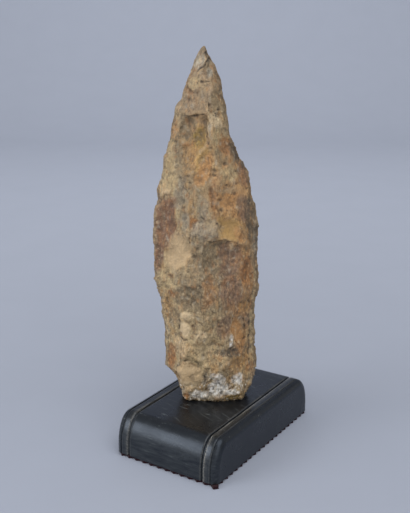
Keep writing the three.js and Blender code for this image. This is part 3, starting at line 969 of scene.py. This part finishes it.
for tint, amount in layers:
    patina_and_painted_light = patina_and_painted_light + amount[:, None] * (np.array(linear(tint)[:3]) - patina_and_painted_light)

shade = skin.attributes.new("patina_and_painted_light", "FLOAT_COLOR", "POINT")
shade.data.foreach_set("color", np.column_stack([patina_and_painted_light, np.ones(count)]).astype(np.float32).ravel())
flecked = 0.3 + 0.14 * eased(own[:, 2], 120, 60) + 0.15 * margin + 0.5 * coarse
flecked = np.clip(flecked * (1 - 0.75 * clean), 0.05, 0.85)
hackle = skin.attributes.new("hackle", "FLOAT", "POINT")
hackle.data.foreach_set("value", flecked.astype(np.float32))
hollow = skin.attributes.new("height", "FLOAT", "POINT")
hollow.data.foreach_set("value", height.astype(np.float32))
skin.polygons.foreach_set("use_smooth", [True] * len(skin.polygons))

stone_place = add_node(chert, "TexCoord").outputs["Object"]
stains_and_painted_light = add_node(chert, "Attribute", attribute_name="patina_and_painted_light")
streaky = add_node(chert, "Mapping", {"Vector": stone_place, "Scale": (1, 1, 0.5)})
mottle = add_node(
    chert,
    "TexNoise",
    {"Vector": streaky.outputs["Vector"], "Scale": 1 / STONE_GRIT, "Detail": 2.0, "Roughness": 0.7},
)
flecks = add_node(
    chert,
    "MapRange",
    {"Value": mottle.outputs["Fac"], "From Min": 0.3, "From Max": 0.7, "To Min": 0.1, "To Max": 0.9},
)
hackly = add_node(chert, "Attribute", attribute_name="hackle")
mottled = add_node(
    chert,
    "Mix",
    {FACTOR: hackly.outputs["Fac"], FIRST: stains_and_painted_light.outputs["Color"], SECOND: flecks.outputs["Result"]},
    data_type="RGBA",
    blend_type="OVERLAY",
)
# Darker in the hollows and paler on the rises, from how far each point stands above the smoothed stone
hollows = add_node(chert, "Attribute", attribute_name="height")
darker_in_hollows = add_node(
    chert,
    "MapRange",
    {"Value": hollows.outputs["Fac"], "From Min": -0.08, "From Max": -0.5, "To Max": 0.6},
)
hollows_darkened = add_node(
    chert,
    "Mix",
    {FACTOR: darker_in_hollows.outputs["Result"], FIRST: mottled.outputs[MIXED], SECOND: linear(DIRT_AND_SHADE)},
    data_type="RGBA",
)
paler_on_rises = add_node(
    chert,
    "MapRange",
    {"Value": hollows.outputs["Fac"], "From Min": 0.1, "From Max": 0.7, "To Max": 0.3},
)
pale = add_node(
    chert,
    "Mix",
    {FACTOR: paler_on_rises.outputs["Result"], FIRST: hollows_darkened.outputs[MIXED], SECOND: linear(BEIGE)},
    data_type="RGBA",
)
grit = add_node(
    chert,
    "TexNoise",
    {"Vector": stone_place, "Scale": 1 / STONE_GRIT, "Detail": 2.0, "Roughness": 0.7},
)
skin_relief = add_node(chert, "Bump", {"Height": grit.outputs["Fac"], "Strength": 0.8, "Distance": 0.0007})
dull = add_node(
    chert,
    "MapRange",
    {"Value": mottle.outputs["Fac"], "From Min": 0.3, "From Max": 0.7, "To Min": 0.42, "To Max": 0.68},
)
chert_face = add_node(
    chert,
    "BsdfPrincipled",
    {
        "Base Color": pale.outputs[MIXED],
        "Roughness": dull.outputs["Result"],
        "Normal": skin_relief.outputs["Normal"],
        "IOR": 1.54,
        "Specular IOR Level": 0.4,
    },
)
add_node(chert, "OutputMaterial", {"Surface": chert_face.outputs["BSDF"]})

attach(stone, "root")
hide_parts("stone_axe")


# Floor and light
# A pale sweep of paper that runs up behind, a soft window to the left, soft lights overhead, in front and on
# the paper behind, and a pale room all round.
PAPER = "#a3aaba"
PAPER_SHADE = "#9fa6b6"
PAPER_CLOUD = 0.05
SWEEP_FRONT = -2.0
SWEEP_BACK = 1.2
SWEEP_ROUND = 0.8
SWEEP_WALL = 1.5
SWEEP_WIDTH = 6
ROOM = "#ebe9e6"
ROOM_STRENGTH = 0.64

# Matt paper: dull and even, with the faintest clouding
paper = new_material("pale_paper")
paper_place = add_node(paper, "TexCoord").outputs["Object"]
clouding = add_node(paper, "TexNoise", {"Vector": paper_place, "Scale": 1 / PAPER_CLOUD, "Detail": 3.0})
sheet_tint = add_node(
    paper,
    "Mix",
    {FACTOR: clouding.outputs["Fac"], FIRST: linear(PAPER_SHADE), SECOND: linear(PAPER)},
    data_type="RGBA",
)
matt = add_node(paper, "BsdfPrincipled", {"Base Color": sheet_tint.outputs[MIXED], "Roughness": 0.9})
add_node(paper, "OutputMaterial", {"Surface": matt.outputs["BSDF"]})

bm = bmesh.new()
near = bm.verts.new((0, SWEEP_FRONT, 0))
far = bm.verts.new((0, SWEEP_BACK, 0))
bm.edges.new((near, far))
curve = bmesh.ops.spin(
    bm,
    geom=[far],
    cent=(0, SWEEP_BACK, SWEEP_ROUND),
    axis=(1, 0, 0),
    angle=math.pi / 2,
    steps=16,
    use_duplicate=False,
)
top = [v for v in curve["geom_last"] if isinstance(v, bmesh.types.BMVert)]
wall = bmesh.ops.extrude_vert_indiv(bm, verts=top)["verts"]
bmesh.ops.translate(bm, verts=wall, vec=(0, 0, SWEEP_WALL))
bmesh.ops.translate(bm, verts=bm.verts, vec=(-SWEEP_WIDTH / 2, 0, 0))
widened = bmesh.ops.extrude_edge_only(bm, edges=bm.edges)["geom"]
right_side = [v for v in widened if isinstance(v, bmesh.types.BMVert)]
bmesh.ops.translate(bm, verts=right_side, vec=(SWEEP_WIDTH, 0, 0))
bmesh.ops.rotate(bm, verts=bm.verts, matrix=Matrix.Rotation(CAMERA_TURN, 3, "Z"))
bmesh.ops.recalc_face_normals(bm, faces=bm.faces)
for face in bm.faces:
    face.smooth = True
sweep = finish_piece(bm, "paper_sweep", paper)

scene.world = bpy.data.worlds.new("pale_room")
scene.world.use_nodes = True
room_light = scene.world.node_tree.nodes["Background"]
room_light.inputs["Color"].default_value = linear(ROOM)
room_light.inputs["Strength"].default_value = ROOM_STRENGTH

to_right = Vector((math.cos(CAMERA_TURN), math.sin(CAMERA_TURN), 0))
to_camera = Vector((math.sin(CAMERA_TURN), -math.cos(CAMERA_TURN), 0))
upward = Vector((0, 0, 1))
stone_middle = Vector((0, 0, 0.1))
for name, lamp_place, aim, width, power in [
    ("soft_window", -1.1 * to_right + 0.48 * to_camera + 0.5 * upward, stone_middle, 0.7, 6.5),
    ("soft_top", 0.3 * to_right + 0.5 * to_camera + 1.4 * upward, stone_middle, 1.2, 9.0),
    ("soft_front", 0.3 * to_right + 1.2 * to_camera + 0.6 * upward, stone_middle, 1.0, 3.5),
    ("soft_wall", -0.4 * to_camera + 1.4 * upward, -2.0 * to_camera + 1.0 * upward, 1.2, 13.0),
]:
    lamp = bpy.data.lights.new(name, "AREA")
    lamp.shape = "SQUARE"
    lamp.size = width
    lamp.energy = power
    lamp_object = bpy.data.objects.new(name, lamp)
    lamp_object.location = lamp_place
    lamp_object.rotation_euler = (aim - lamp_place).to_track_quat("-Z", "Y").to_euler()
    scene.collection.objects.link(lamp_object)
